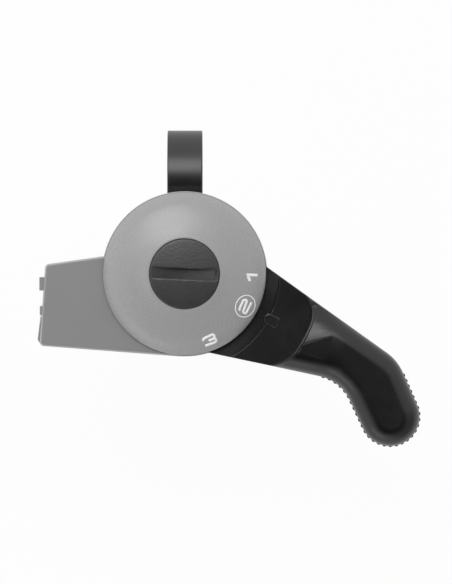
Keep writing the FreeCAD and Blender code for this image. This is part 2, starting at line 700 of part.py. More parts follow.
def on_circle(start, heading, radius):
    """Where a ray from start leaves the circle of that radius about the pivot."""
    along = start.dot(heading)
    return start + heading * (math.sqrt(along ** 2 + radius ** 2 - start.Length ** 2) - along)


def recess_floor():
    """The flat let into the arm's root, with round corners where it meets the arm's sides."""
    edges = lever_outline()
    up_dir = (edges[0].Vertexes[1].Point - edges[0].Vertexes[0].Point).normalize()
    low_dir = (edges[-1].Vertexes[0].Point - edges[-1].Vertexes[1].Point).normalize()
    up_from = upper_root() + Vector(-up_dir.y, up_dir.x, 0) * RECESS_SWELL
    low_from = lower_root() - Vector(-low_dir.y, low_dir.x, 0) * RECESS_SWELL
    up_back = up_from - up_dir * BODY_RADIUS
    past_heel = heel() * 2
    up_end = on_circle(up_from, up_dir, RECESS_RADIUS)
    low_end = on_circle(low_from, low_dir, RECESS_RADIUS)
    back = Vector(-BODY_RADIUS, 0, 0)
    outline = [Part.makeLine(back, up_back), Part.makeLine(up_back, up_end),
               Part.Arc(up_end, polar(RECESS_RADIUS, GEAR_TWO), low_end).toShape(),
               Part.makeLine(low_end, low_from), Part.makeLine(low_from, past_heel),
               Part.makeLine(past_heel, back)]
    floor = lifted(Part.Face(Part.Wire(outline)), ROOT_FLAT_Z, FAR)
    for corner, radius in ((up_end, RECESS_UPPER_CORNER), (low_end, RECESS_LOWER_CORNER)):
        floor = floor.makeFillet(radius, edges_where(floor, lambda b: upright(b, corner.x, corner.y)))
    return floor


def arm_flank():
    """What is taken off the arm's near end, so that its top falls in a long round to the upper side."""
    centre_z = ARM_TOP_Z + FLANK_LIFT - FLANK_RADIUS
    over = ARM_TOP_Z + ARM_EDGE
    foot_z = ROOT_FLAT_Z + FLANK_FOOT
    fall = math.acos((foot_z - centre_z) / FLANK_RADIUS)
    crest = Vector(0, 0, centre_z + FLANK_RADIUS)
    middle = Vector(0, FLANK_RADIUS * math.sin(fall / 2), centre_z + FLANK_RADIUS * math.cos(fall / 2))
    foot = Vector(0, FLANK_RADIUS * math.sin(fall), foot_z)
    wide = RECESS_RADIUS
    above = [foot, Vector(0, wide, foot_z), Vector(0, wide, over), Vector(0, 0, over), crest]
    edges = [Part.Arc(crest, middle, foot).toShape()]
    edges += [Part.makeLine(a, b) for a, b in zip(above, above[1:])]
    bar = Part.Face(Part.Wire(edges)).extrude(Vector(2 * RECESS_RADIUS, 0, 0))
    bar.translate(Vector(-RECESS_RADIUS, 0, 0))
    bar.rotate(Vector(), UP, FLANK_HEADING)
    return bar.translated(polar(RECESS_RADIUS, FLANK_ANGLE))


def arm_core():
    """The hollow under the arm that keeps its walls even, crossed by two webs."""
    outline = lever_outline()
    face = Part.Face(Part.Wire(outline + [Part.makeLine(lower_root(), upper_root())]))
    bottom = ARM_BOTTOM_Z - TINY
    top = ARM_TOP_Z - ARM_ROOF
    core = lifted(face.makeOffset2D(-ARM_SHELL), bottom, top)
    thumb = outline[3].Vertexes
    webs = [bar_between(Vector(*LEVER_CROOK, 0), Vector(*LEVER_SHOULDER, 0), ARM_WEB, bottom, top),
            bar_between(thumb[0].Point, thumb[-1].Point, ARM_WEB, bottom, top)]
    under_flank = arm_flank().translated(Vector(0, 0, -ARM_ROOF))
    return core.cut([cylinder(RECESS_RADIUS + ARM_SHELL, 0, FAR), under_flank] + webs)


def grip_ribs():
    """Upright ribs round the thumb pad, for grip."""
    top = ARM_TOP_Z - ARM_EDGE - GRIP_BELOW_EDGE
    ribs = []
    for edge in lever_outline()[2:6]:
        count = max(1, round(edge.Length / GRIP_PITCH))
        step = (edge.LastParameter - edge.FirstParameter) / count
        for i in range(count):
            at = edge.FirstParameter + (i + 0.5) * step
            ahead = edge.tangentAt(at)
            inward = Vector(ahead.y, -ahead.x, 0)
            spot = edge.valueAt(at) + inward * (GRIP_RIB_DIAMETER / 2 - GRIP_RIB_PROUD)
            ribs.append(cylinder(GRIP_RIB_DIAMETER / 2, ARM_BOTTOM_Z + ARM_FOOT_EDGE, top, spot.x, spot.y))
    return ribs


def collar_step():
    """What is turned away over the collar, so that the root flat ends in a low bevelled step."""
    step = cylinder(COLLAR_RADIUS, COLLAR_TOP_Z, FAR)
    bevel = Part.makeCone(COLLAR_RADIUS, COLLAR_RADIUS + 2 * STEP_BEVEL_WIDTH, 2 * STEP_BEVEL_HEIGHT,
                          Vector(0, 0, ROOT_FLAT_Z - STEP_BEVEL_HEIGHT))
    return [step, bevel]


def pointer():
    """Raised index mark with a round inner end, in line with the gear in use."""
    inner = COLLAR_RADIUS - POINTER_OVERLAP
    half = POINTER_WIDTH / 2
    top = ROOT_FLAT_Z + POINTER_HEIGHT
    bar = Part.makeBox(POINTER_LENGTH - half, POINTER_WIDTH, top - COLLAR_TOP_Z,
                       Vector(inner + half, -half, COLLAR_TOP_Z))
    mark = bar.fuse(cylinder(half, COLLAR_TOP_Z, top, inner + half)).removeSplitter()
    mark = mark.makeChamfer(POINTER_EDGE, edges_where(mark, lambda b: b.ZMin > top - TINY))
    return mark.rotated(Vector(), UP, GEAR_TWO)


def detent_pocket(angle):
    spot = polar(BALL_RING_RADIUS, angle)
    return cylinder(POCKET_RADIUS, HUB_Z, HUB_TOP_Z - POCKET_ROOF, spot.x, spot.y)


def lever():
    """One moulding: hub, collar, root flat, bent arm and ribbed thumb pad."""
    body_clear = cylinder(BODY_RADIUS + ARM_CLEARANCE, 0, DRUM_TOP)
    well = cylinder(CUP_OUTER + WELL_GAP, HUB_TOP_Z, FAR)
    arm = arm_block()
    for tool in [recess_floor(), arm_flank()] + collar_step() + [well, body_clear, arm_core()]:
        arm = arm.cut(tool)
    hub = cylinder(HUB_RADIUS, HUB_Z, HUB_TOP_Z)
    flange = cylinder(DRUM_RADIUS, DRUM_TOP, HUB_TOP_Z)
    body = arm.fuse([hub, flange, drum_keys(), pointer()] + grip_ribs())
    pockets = [detent_pocket(angle) for angle in BALL_ANGLES]
    return body.cut([cylinder(BUSH_RADIUS + RUNNING_GAP, 0, FAR)] + pockets).removeSplitter()


# Dial cover and centre cap

def dial_dome():
    """The dome's outer curve, from the land round the cap out to the rim."""
    land = Vector(CUP_RADIUS + CUP_LAND, 0, DIAL_TOP_Z)
    shoulder = Vector(CUP_RADIUS + SHOULDER_WIDTH, 0, DIAL_TOP_Z - SHOULDER_DROP)
    brow = Vector(DIAL_RADIUS - BROW_WIDTH, 0, DIAL_TOP_Z - BROW_DROP)
    rim = Vector(DIAL_RADIUS, 0, RIM_Z + DIAL_RIM_HEIGHT)
    outward = Vector(1, 0, -SHOULDER_SLOPE)
    at_brow = arc_end_heading(shoulder, outward, brow)
    return [tangent_arc(shoulder, outward * -1, land).toShape(),
            tangent_arc(shoulder, outward, brow).toShape(),
            tangent_arc(brow, at_brow, rim).toShape()]


def dial_skirt():
    """Where the rim reaches down over the lever's opening, in place of the body's wall."""
    start = touch_angle() + SKIRT_CLEARANCE
    end = LEVER_MOUTH[1] - SKIRT_CLEARANCE
    top = RIM_Z + DIAL_RIM_HEIGHT
    skirt = sector(DIAL_RADIUS, start, end, COLLAR_TOP_Z + SLIDE_GAP, top)
    return skirt.cut(cylinder(DIAL_RADIUS - DIAL_WALL, 0, FAR))


def dial_keys(under):
    """Tongues inside the rim that stop the dial from turning, trimmed by the space under its dome."""
    outer = DIAL_RADIUS - DIAL_KEY_GAP - WALL
    keys = []
    for angle in DIAL_KEY_ANGLES:
        key = Part.makeBox(DIAL_KEY_THICKNESS, DIAL_KEY_WIDTH, DIAL_HEIGHT,
                           Vector(outer - DIAL_KEY_THICKNESS, -DIAL_KEY_WIDTH / 2, RIM_Z - DIAL_KEY_DEPTH))
        keys.append(key.rotated(Vector(), UP, angle))
    return [key.common(under) for key in keys]


def dial_cover():
    """Domed cover that carries the gear numbers, with a cup for the centre cap."""
    rim_top = RIM_Z + DIAL_RIM_HEIGHT
    inner = DIAL_RADIUS - DIAL_WALL
    roof_cup = Vector(CUP_OUTER, 0, DIAL_TOP_Z - SHOULDER_DROP - DIAL_WALL)
    roof = tangent_arc(roof_cup, Vector(1, 0, -SHOULDER_SLOPE), Vector(inner, 0, rim_top)).toShape()
    rim = lines_xz([(DIAL_RADIUS, rim_top), (DIAL_RADIUS, RIM_Z), (inner, RIM_Z), (inner, rim_top)])
    cup = lines_xz([(CUP_OUTER, roof_cup.z), (CUP_OUTER, CUP_Z), (PIVOT_HOLE, CUP_Z), (PIVOT_HOLE, CUP_TOP),
                    (CUP_RADIUS, CUP_TOP), (CUP_RADIUS, DIAL_TOP_Z), (CUP_RADIUS + CUP_LAND, DIAL_TOP_Z)])
    cover = revolved(dial_dome() + rim + [roof] + cup)
    key_foot = RIM_Z - DIAL_KEY_DEPTH
    filled = revolved(dial_dome() + lines_xz([(DIAL_RADIUS, rim_top), (DIAL_RADIUS, key_foot), (0, key_foot),
                                              (0, DIAL_TOP_Z), (CUP_RADIUS + CUP_LAND, DIAL_TOP_Z)]))
    return cover.fuse([dial_skirt()] + dial_keys(filled)).removeSplitter()


def centre_cap():
    """Round cap over the pivot screw, with a coin slot that runs out before its edge."""
    radius = CUP_RADIUS - CAP_GAP
    edge_z = DIAL_TOP_Z + CAP_EDGE / 2
    top = Vector(0, 0, edge_z + CAP_CROWN)
    dome = Part.Arc(Vector(radius, 0, edge_z), Vector(radius / 2, 0, edge_z + 0.75 * CAP_CROWN), top).toShape()
    under = edge_z + CAP_CROWN - CAP_ROOF
    profile = [(0, top.z), (0, under), (radius - CAP_WALL, under), (radius - CAP_WALL, CUP_TOP),
               (radius, CUP_TOP), (radius, edge_z)]
    cap = revolved(lines_xz(profile) + [dome])
    cap = cap.makeFillet(CAP_EDGE, edges_where(
        cap, lambda b: b.ZLength < TINY and abs(b.ZMax - edge_z) < TINY))
    disc = (SLOT_LENGTH ** 2 / 4 + SLOT_DEPTH ** 2) / (2 * SLOT_DEPTH)
    slot_from = Vector(0, -SLOT_WIDTH / 2, top.z - SLOT_DEPTH + disc)
    slot = Part.makeCylinder(disc, SLOT_WIDTH, slot_from, Vector(0, 1, 0))
    return cap.cut(slot.rotated(Vector(), UP, SLOT_TILT))


PIECES = [base_housing, cable_cover, dial_cover, centre_cap, pivot_screw, lock_washer, pivot_washer, pivot_bush,
          pivot_insert, index_plate, wave_washer, clamp_strap, clamp_bolt, clamp_washer, clamp_nut,
          lever, cable_drum, detent_balls, detent_springs, slip_washer]


def main():
    os.makedirs("parts", exist_ok=True)
    for make in PIECES:
        shape = make().translated(Vector(0, -PIVOT_TO_BAR, 0))
        shape.exportStep("parts/" + make.__name__ + ".step")


main()
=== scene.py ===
"""Looks of the handlebar thumb shifter: finishes, printed gear numbers, broken edges, the soft forms of the
lever's arm, the clamp bolt's thread, light and camera.

Every piece is in metres in the part's own frame: the handlebar runs along X through the
origin, the dial faces +Z, and the lever's pivot stands at -Y of the bar.
"""
import json
import math

import bmesh
import bpy
from mathutils import Matrix, Vector
from mathutils.bvhtree import BVHTree


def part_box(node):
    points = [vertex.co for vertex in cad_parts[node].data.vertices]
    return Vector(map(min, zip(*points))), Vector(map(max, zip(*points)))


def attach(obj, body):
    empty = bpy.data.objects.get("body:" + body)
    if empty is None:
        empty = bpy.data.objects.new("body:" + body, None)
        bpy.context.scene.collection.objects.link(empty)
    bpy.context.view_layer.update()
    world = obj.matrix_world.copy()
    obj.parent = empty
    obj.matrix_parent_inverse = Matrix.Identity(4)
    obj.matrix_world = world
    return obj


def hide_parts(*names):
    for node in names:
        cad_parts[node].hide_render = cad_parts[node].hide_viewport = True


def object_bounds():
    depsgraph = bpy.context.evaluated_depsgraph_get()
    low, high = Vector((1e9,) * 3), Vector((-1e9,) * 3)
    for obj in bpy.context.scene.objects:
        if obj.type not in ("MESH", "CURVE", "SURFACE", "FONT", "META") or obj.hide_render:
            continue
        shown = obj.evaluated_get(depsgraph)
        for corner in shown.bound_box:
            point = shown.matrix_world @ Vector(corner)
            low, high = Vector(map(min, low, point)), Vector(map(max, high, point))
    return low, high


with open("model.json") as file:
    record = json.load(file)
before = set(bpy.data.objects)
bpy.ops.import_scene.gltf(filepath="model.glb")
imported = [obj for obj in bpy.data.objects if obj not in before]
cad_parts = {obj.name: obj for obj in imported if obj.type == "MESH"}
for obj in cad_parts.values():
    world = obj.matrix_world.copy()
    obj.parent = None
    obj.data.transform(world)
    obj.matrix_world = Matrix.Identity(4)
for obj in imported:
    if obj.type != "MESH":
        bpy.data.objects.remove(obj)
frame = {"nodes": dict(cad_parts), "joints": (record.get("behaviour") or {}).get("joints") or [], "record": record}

cad_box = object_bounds()
MM = 0.001

# Where things are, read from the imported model
PIVOT = Vector(frame["joints"][0]["pos_m"])
DIAL_LOW, DIAL_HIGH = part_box("dial_cover")
BOLT_LOW, BOLT_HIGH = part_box("clamp_bolt")
WASHER_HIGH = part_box("clamp_washer")[1]
NUT_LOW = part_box("clamp_nut")[0]

# Sizes of the patterns in the finishes
SATIN_CLOUD = 9 * MM
LACQUER_CLOUD = 12 * MM
METAL_CLOUD = 6 * MM
CLOUD_DETAIL = 3.0
FLAKE_SIZE = 0.22 * MM
FLAKE_DEPTH = 0.004 * MM
BRUSH_DEPTH = 0.005 * MM
INK_GRAIN = 0.3 * MM
NOISE_REACH = (0.3, 0.7)

# Printed gear numbers: bearing round the dial in degrees and distance from the pivot
NUMBER_PLACES = {"1": (-2.4, 18.2 * MM), "2": (-28.0, 18.55 * MM), "3": (-69.1, 19.1 * MM)}
STROKE_WIDTHS = {"1": 0.76 * MM, "2": 0.62 * MM, "3": 0.68 * MM}
STROKE_BEND = 0.42 * MM
STROKE_BEND_STEPS = 6
STROKE_SPACING = 0.2 * MM
INK_THICKNESS = 0.03 * MM
INK_LIFT = 0.025 * MM
DROP_HEIGHT = 10 * MM
RING_WIDTH = 6.1 * MM
RING_HEIGHT = 5.1 * MM
RING_STROKE = 0.26 * MM
RING_POINTS = 48

# Strokes of each number in millimetres, upright, with the number's middle at the origin
NUMBER_STROKES = {
    "1": [[(0.46, 1.5), (0.46, -1.5)], [(-1.2, 0.45), (0.4, 1.2)]],
    "2": [[(-1.75, 0.7), (-1.4, 1.05), (1.2, 1.2), (1.65, 0.7), (1.45, 0.2), (-1.5, -0.15), (-1.85, -0.6),
           (-1.6, -1.1), (1.75, -1.05)]],
    "3": [[(-1.75, 0.4), (-1.6, 0.95), (1.2, 1.15), (1.65, 0.8), (1.3, 0.05), (1.75, -0.5), (1.3, -1.08),
           (-1.7, -1.0)], [(-0.35, -0.08), (1.3, 0.03)]],
}

# Rounding of each visible piece's sharp edges
EDGE_BREAKS = {"base_housing": 0.2 * MM, "cable_cover": 0.15 * MM, "dial_cover": 0.1 * MM,
               "centre_cap": 0.12 * MM, "lever": 0.25 * MM, "clamp_strap": 0.25 * MM,
               "clamp_bolt": 0.1 * MM, "clamp_washer": 0.1 * MM, "clamp_nut": 0.12 * MM}
EDGE_ANGLE = math.radians(35)
EDGE_STEPS = 3
EDGE_PROFILE = 0.35
FLAT_ANGLE = math.radians(0.3)
MERGE_DISTANCE = 0.0005 * MM
WELD_DISTANCE = 1e-7

# The grey mouldings carry a painted highlight, a lighter grey, on their broken edges and where the upward part of
# a face's normal is in this range
HIGHLIGHT_PIECES = ("base_housing", "cable_cover")
HIGHLIGHT_TILT = (0.3, 0.93)

# The lever's collar: its level, how far it reaches from the pivot, and the depth of its step
ROOT_LEVEL = 14.3 * MM
ROOT_REACH = 30 * MM
STEP_DEPTH = 0.6 * MM

# Soft blend of the arm's upper side, from the recess to the bend
BLEND_REACH = (33 * MM, 54 * MM)
BLEND_FADE = 12 * MM
BLEND_TILT = 0.05
BLEND_SPACING = 1.0 * MM
BLEND_CUTS = 4
BLEND_ROUNDS = 80
BLEND_STEP = 0.5
BLEND_SLIVER = 0.03 * MM
BLEND_SPECK = 0.02 * MM * MM

# Rounded lip of the recess in the lever's arm
LIP_RADIUS = 0.5 * MM
LIP_SINK = 0.8
LIP_TAPER = 3 * MM
LIP_END = 0.1
LIP_SPACING = 0.25 * MM
LIP_SIDES = 16
WALL_TILT = 0.1

# Bolt thread
THREAD_PITCH = 0.8 * MM
THREAD_RADIUS = 2.5 * MM
THREAD_DEPTH = 0.18 * MM
THREAD_STEPS = 40
THREAD_SIDES = 4

# Camera, placed from the photograph's frame
FRAME_PIXELS = (452, 584)
DIAL_PIXEL = (184.7, 274.0)
PIXELS_PER_METRE = 3695.0
CAMERA_DISTANCE = 1.6
CAMERA_CLIP = (0.05, 20)
SENSOR = 36.0

# Floor: its drop below the part, half its width, and the share of plain white that the eye sees
FLOOR_DROP = 45 * MM
FLOOR_HALF = 4.0
FLOOR_WHITE = 0.93

# Light: levels of the tent by nearness to the dark axis, a dim gap in it, a glow, and two lamps
WHITE = (1, 1, 1, 1)
DARK_AXIS = (0.0, -0.24, 0.97)
TENT_LEVELS = ((0.62, 1.0), (0.82, 0.72), (0.93, 0.13), (1.0, 0.04))
TENT_STRENGTH = 1.02
GAP_AXIS = (0.814, -0.47, 0.342)
GAP_REACH = (0.6, 0.9)
GAP_LEVEL = 0.5
GLOW_AXIS = (-0.15, 0.43, 0.89)
GLOW_REACH = (0.925, 1.0)
GLOW_STRENGTH = 2.1
LAMPS = {"top_softbox": ((-0.11, 0.30, 0.59), (0.3, 0.42), 0.63),
         "side_softbox": ((-0.38, -0.66, 0.32), (0.6, 0.3), 0.35)}


def linear(code):
    """sRGB hex to linear RGBA."""
    values = [int(code[i:i + 2], 16) / 255 for i in (1, 3, 5)]
    return tuple(v / 12.92 if v <= 0.04045 else ((v + 0.055) / 1.055) ** 2.4 for v in values) + (1.0,)


def add(tree, kind, inputs=None, **settings):
    """Adds a node, sets its properties, and fills or links its inputs."""
    made = tree.nodes.new(kind)
    for name, value in settings.items():
        setattr(made, name, value)
    for key, value in (inputs or {}).items():
        if isinstance(value, bpy.types.NodeSocket):
            tree.links.new(value, made.inputs[key])
        else:
            made.inputs[key].default_value = value
    return made


def linked(name, data):
    """A new object in the scene."""
    made = bpy.data.objects.new(name, data)
    bpy.context.scene.collection.objects.link(made)
    return made


def new_material(name):
    """An empty node material with its output, and the object coordinates its patterns read."""
    material = bpy.data.materials.new(name)
    material.use_nodes = True
    tree = material.node_tree
    tree.nodes.clear()
    output = add(tree, "ShaderNodeOutputMaterial")
    place = add(tree, "ShaderNodeTexCoord").outputs["Object"]
    return material, tree, output, place


def grain(tree, place, size, detail=2.0):
    """Noise whose spots are about size metres across."""
    return add(tree, "ShaderNodeTexNoise", {"Vector": place, "Scale": 1 / size, "Detail": detail,
                                            "Roughness": 0.55}).outputs["Fac"]


def toned(tree, factor, dark, light):
    """A colour that wanders between two close tones."""
    return add(tree, "ShaderNodeMix", {"Factor": factor, "A": linear(dark), "B": linear(light)},
               data_type="RGBA").outputs["Result"]


def spread(tree, value, reach, low, high, **settings):
    """A value's reach mapped to a range, and held at both ends."""
    return add(tree, "ShaderNodeMapRange", {"Value": value, "From Min": reach[0], "From Max": reach[1],
                                            "To Min": low, "To Max": high}, **settings).outputs["Result"]


def bumped(tree, height, depth, strength):
    """A normal that follows a pattern of the given depth."""
    return add(tree, "ShaderNodeBump", {"Height": height, "Distance": depth,
                                        "Strength": strength}).outputs["Normal"]


def shaded(tree, output, sockets):
    """Ends a material in one principled shader."""
    shader = add(tree, "ShaderNodeBsdfPrincipled", sockets)
    tree.links.new(shader.outputs["BSDF"], output.inputs["Surface"])


def satin(name, dark, light, roughness, grain_size, grain_depth, grain_strength, specular=0.5):
    """Moulded plastic, or enamel on steel: a fine leathery grain and faint clouds in tone and gloss."""
    material, tree, output, place = new_material(name)
    fine = grain(tree, place, grain_size)
    cloud = grain(tree, place, SATIN_CLOUD, CLOUD_DETAIL)
    shaded(tree, output, {
        "Base Color": toned(tree, cloud, dark, light),
        "Roughness": spread(tree, cloud, NOISE_REACH, roughness - 0.03, roughness + 0.03),
        "Normal": bumped(tree, fine, grain_depth, grain_strength),
        "Specular IOR Level": specular})
    return material


def silver_lacquer():
    """ABS with a silver-grey lacquer: a satin film whose flakes differ a little in gloss and tilt."""
    material, tree, output, place = new_material("silver_lacquered_abs")
    flakes = add(tree, "ShaderNodeTexVoronoi", {"Vector": place, "Scale": 1 / FLAKE_SIZE})
    sparkle = add(tree, "ShaderNodeSeparateColor", {"Color": flakes.outputs["Color"]}).outputs["Red"]
    cloud = grain(tree, place, LACQUER_CLOUD, CLOUD_DETAIL)
    shaded(tree, output, {
        "Base Color": toned(tree, cloud, "#9A9A9A", "#9E9E9E"),
        "Roughness": spread(tree, sparkle, (0.0, 1.0), 0.24, 0.32),
        "Normal": bumped(tree, sparkle, FLAKE_DEPTH, 0.25),
        "Specular IOR Level": 0.58})
    return material


def plated_metal(name, dark, light, roughness, brush):
    """Metal with fine drawn or turned marks of the given spacing."""
    material, tree, output, place = new_material(name)
    lines = grain(tree, place, brush)
    cloud = grain(tree, place, METAL_CLOUD, CLOUD_DETAIL)
    shaded(tree, output, {
        "Base Color": toned(tree, cloud, dark, light),
        "Metallic": 1.0,
        "Roughness": spread(tree, lines, NOISE_REACH, roughness - 0.05, roughness + 0.05),
        "Normal": bumped(tree, lines, BRUSH_DEPTH, 0.15)})
    return material


def printed_ink():
    """White pad-printed ink: a thin, slightly uneven satin film."""
    material, tree, output, place = new_material("white_printing_ink")
    film = grain(tree, place, INK_GRAIN)
    shaded(tree, output, {"Base Color": toned(tree, film, "#F2F2F0", "#FBFBFA"), "Roughness": 0.5})
    return material


def make_finishes():
    """One finish for each material slot of the record, and for the painted highlight on the grey edges, the cap
    and the ink.
    """
    return {
        "grey_moulding": satin("grey_moulded_abs", "#858585", "#898989", 0.42, 0.35 * MM, 0.012 * MM, 0.2),
        # painted highlight: a lighter grey for the grey mouldings' broken edges and tilted faces
        "grey_painted_highlight": satin("grey_abs_painted_highlight", "#A8A8A8", "#ACACAC", 0.32, 0.35 * MM, 0.006 * MM, 0.1),
        "silver_dial": silver_lacquer(),
        "black_moulding": satin("black_glass_filled_nylon", "#050505", "#090909", 0.26, 0.3 * MM,
                                0.01 * MM, 0.15, 0.6),
        "cap_moulding": satin("black_grained_abs", "#262626", "#2C2C2C", 0.4, 0.6 * MM, 0.08 * MM, 0.6, 0.75),
        "black_steel": satin("black_enamelled_steel", "#0D0D0D", "#111111", 0.34, 0.5 * MM,
                             0.004 * MM, 0.1, 0.75),
        "zinc_steel": plated_metal("zinc_plated_steel", "#A9ACB0", "#B8BBBF", 0.34, 0.25 * MM),
        "spring_steel": plated_metal("oiled_spring_steel", "#70716F", "#7C7D7A", 0.3, 0.2 * MM),
        "bearing_steel": plated_metal("polished_bearing_steel", "#B5B7BA", "#BFC1C4", 0.12, 0.3 * MM),
        "brass": plated_metal("turned_brass", "#C6A15A", "#D0AB62", 0.3, 0.2 * MM),
        "drum_acetal": satin("natural_acetal", "#DCDCD6", "#E6E6E0", 0.4, 0.3 * MM, 0.006 * MM, 0.15),
        "ink": printed_ink(),
    }


def node_tree(name, *sizes):
    """A Geometry Nodes tree with a geometry input and output and one named size input for each name."""
    tree = bpy.data.node_groups.new(name, "GeometryNodeTree")
    tree.interface.new_socket("Geometry", in_out="INPUT", socket_type="NodeSocketGeometry")
    for size in sizes:
        tree.interface.new_socket(size, in_out="INPUT", socket_type="NodeSocketFloat")
    tree.interface.new_socket("Material", in_out="INPUT", socket_type="NodeSocketMaterial")
    tree.interface.new_socket("Geometry", in_out="OUTPUT", socket_type="NodeSocketGeometry")
    return tree, add(tree, "NodeGroupInput").outputs, add(tree, "NodeGroupOutput")


def close_tree(tree, sizes, outputs, geometry):
    """Ends a tree with real geometry and its material."""
    real = add(tree, "GeometryNodeRealizeInstances", {"Geometry": geometry})
    painted = add(tree, "GeometryNodeSetMaterial", {"Geometry": real.outputs["Geometry"],
                                                    "Material": sizes["Material"]})
    tree.links.new(painted.outputs["Geometry"], outputs.inputs["Geometry"])


def grown(name, mesh, tree, values):
    """Runs a tree on a mesh and returns the result as a plain object."""
    source = linked(name + "_path", mesh)
    modifier = source.modifiers.new("grow", "NODES")
    modifier.node_group = tree
    for item in tree.interface.items_tree:
        if item.in_out == "INPUT" and item.name in values:
            modifier[item.identifier] = values[item.name]
    evaluated = source.evaluated_get(bpy.context.evaluated_depsgraph_get())
    result = bpy.data.meshes.new_from_object(evaluated)
    bpy.data.objects.remove(source)
    return linked(name, result)


def path_mesh(name, paths, closed=False):
    """Open or closed runs of points as a wire mesh."""
    mesh = bpy.data.meshes.new(name)
    points, edges = [], []
    for path in paths:
        first = len(points)
        points += [Vector((*point, 0.0)) for point in path]
        edges += [(first + i, first + i + 1) for i in range(len(path) - 1)]
        if closed:
            edges.append((len(points) - 1, first))
    mesh.from_pydata(points, edges, [])
    return mesh


def outward(mesh):
    """Merges doubles and turns every face outwards."""
    work = bmesh.new()
    work.from_mesh(mesh)
    bmesh.ops.remove_doubles(work, verts=work.verts, dist=WELD_DISTANCE)
    bmesh.ops.recalc_face_normals(work, faces=work.faces)
    work.to_mesh(mesh)
    work.free()


def stroke_tree():
    """Turns a path into a flat printed stroke with rounded bends."""
    tree, sizes, outputs = node_tree("printed_stroke", "Width", "Bend", "Thickness", "Spacing")
    curve = add(tree, "GeometryNodeMeshToCurve", {"Mesh": sizes["Geometry"]})
    bent = add(tree, "GeometryNodeFilletCurve", {
        "Curve": curve.outputs["Curve"], "Radius": sizes["Bend"], "Count": STROKE_BEND_STEPS,
        "Limit Radius": True}, mode="POLY")
    even = add(tree, "GeometryNodeResampleCurve", {"Curve": bent.outputs["Curve"],
                                                   "Length": sizes["Spacing"]}, mode="LENGTH")
    level = add(tree, "GeometryNodeSetCurveNormal", {"Curve": even.outputs["Curve"]}, mode="Z_UP")
    section = add(tree, "GeometryNodeCurvePrimitiveQuadrilateral", {"Width": sizes["Width"],
                                                                    "Height": sizes["Thickness"]})
    stroke = add(tree, "GeometryNodeCurveToMesh", {
        "Curve": level.outputs["Curve"], "Profile Curve": section.outputs["Curve"], "Fill Caps": True})
    close_tree(tree, sizes, outputs, stroke.outputs["Mesh"])
    return tree


def lay_on_dial(piece, bearing, distance, dial):
    """Turns a flat print so that its top points at the pivot, and drops it on the dial's dome."""
    angle = math.radians(bearing)
    spot = PIVOT + Vector((math.cos(angle), math.sin(angle), 0)) * distance
    turn = Matrix.Rotation(angle + math.pi / 2, 4, "Z")
    for vertex in piece.data.vertices:
        above = vertex.co.z
        flat = turn @ Vector((vertex.co.x, vertex.co.y, 0))
        start = Vector((spot.x + flat.x, spot.y + flat.y, DIAL_HIGH.z + DROP_HEIGHT))
        hit = dial.ray_cast(start, Vector((0, 0, -1)))[0]
        vertex.co = hit + Vector((0, 0, INK_LIFT + above))


def finish_print(piece, digit, dial):
    """Lays a print at its number's place, as part of the dial."""
    lay_on_dial(piece, *NUMBER_PLACES[digit], dial)
    outward(piece.data)
    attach(piece, "housing")


def print_numbers(finishes):
    """The three gear numbers and the ring round the middle one, as ink on the dome."""
    depsgraph = bpy.context.evaluated_depsgraph_get()
    dial = BVHTree.FromObject(frame["nodes"]["dial_cover"], depsgraph)
    tree = stroke_tree()
    values = {"Bend": STROKE_BEND, "Thickness": INK_THICKNESS, "Spacing": STROKE_SPACING,
              "Material": finishes["ink"]}
    for digit, strokes in NUMBER_STROKES.items():
        values["Width"] = STROKE_WIDTHS[digit]
        paths = [[(x * MM, y * MM) for x, y in path] for path in strokes]
        finish_print(grown("gear_number_" + digit, path_mesh("number", paths), tree, values), digit, dial)
    turns = [2 * math.pi * i / RING_POINTS for i in range(RING_POINTS)]
    ring = [(RING_WIDTH / 2 * math.cos(turn), RING_HEIGHT / 2 * math.sin(turn)) for turn in turns]
    values.update({"Width": RING_STROKE, "Bend": 0.0})
    finish_print(grown("gear_number_ring", path_mesh("ring", [ring], True), tree, values), "2", dial)


def dress_nodes(finishes):
    """Gives every CAD node the finish of its slot, and the cap its own."""
    own = {"centre_cap": "cap_moulding"}
    for row in frame["record"]["subparts"]:
        piece = frame["nodes"][row["node"]]
        piece.data.materials.clear()
        piece.data.materials.append(finishes[own.get(row["node"], row["material_slot"])])


def reach(place):
    """Distance from the pivot's axis."""
    return (place - PIVOT).to_2d().length


def edge_middle(edge):
    return (edge.verts[0].co + edge.verts[1].co) / 2


def is_corner(edge):
    """Whether an edge is a sharp outside corner, not an inside one or a gentle bend."""
    return len(edge.link_faces) == 2 and edge.is_convex and edge.calc_face_angle() >= EDGE_ANGLE


def is_broken(edge, name):
    """Whether a piece's edge is rounded: every outside corner, but on the lever only those of its collar."""
    if name != "lever" or not is_corner(edge):
        return is_corner(edge)
    middle = edge_middle(edge)
    return reach(middle) < ROOT_REACH and middle.z > ROOT_LEVEL - STEP_DEPTH


def upper_faces(work):
    """Faces on the upper side of the lever's arm that come within the blend's reach, and specks there."""
    def within(vertex):
        return vertex.co.z > ROOT_LEVEL and BLEND_REACH[0] < reach(vertex.co) < BLEND_REACH[1]
    return [face for face in work.faces if (face.normal.z > BLEND_TILT or face.calc_area() < BLEND_SPECK)
            and any(map(within, face.verts))]


